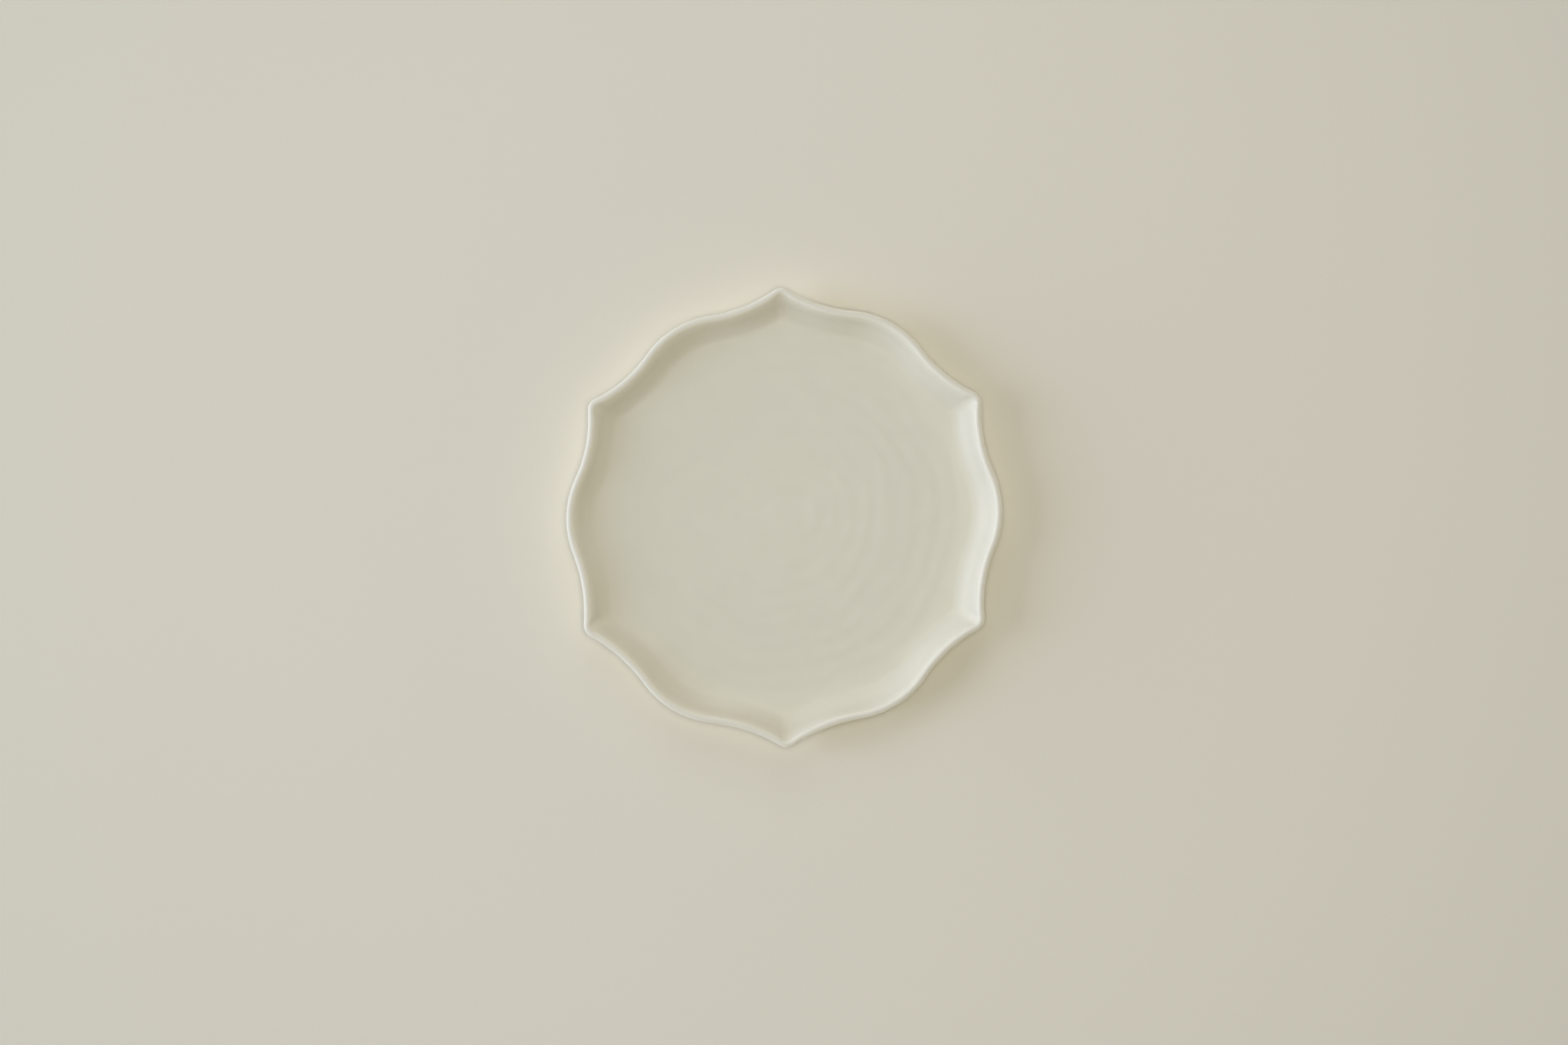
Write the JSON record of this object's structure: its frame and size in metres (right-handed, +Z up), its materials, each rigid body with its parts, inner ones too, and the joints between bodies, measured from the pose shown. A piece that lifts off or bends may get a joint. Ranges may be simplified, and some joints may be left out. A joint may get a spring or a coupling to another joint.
{
  "type": "foliate plate",
  "caption": "Shallow porcelain plate with a lobed, pointed rim, a low sloping wall, a flat floor and a luted foot ring; holds food or small things on a table.",
  "frame": {"origin": "middle of the standing face of the foot ring, under the middle of the plate", "axes": "+Z up out of the well; two tips of the rim lie on the Y axis and two lobes on the X axis"},
  "size_m": [0.2006, 0.2116, 0.019],
  "materials": {
    "porcelain": "fired and unglazed, under the glaze",
    "slip": "fired and unglazed, wiped smooth",
    "bare_foot": "fired, unglazed and rubbed smooth",
    "glaze": "cream satin glaze"
  },
  "bodies": {
    "root": {"porcelain_body": "porcelain", "luting_slip": "slip", "foot_ring": "bare_foot", "glaze_coat": "glaze", "base_glaze": "glaze"}
  },
  "joints": []
}
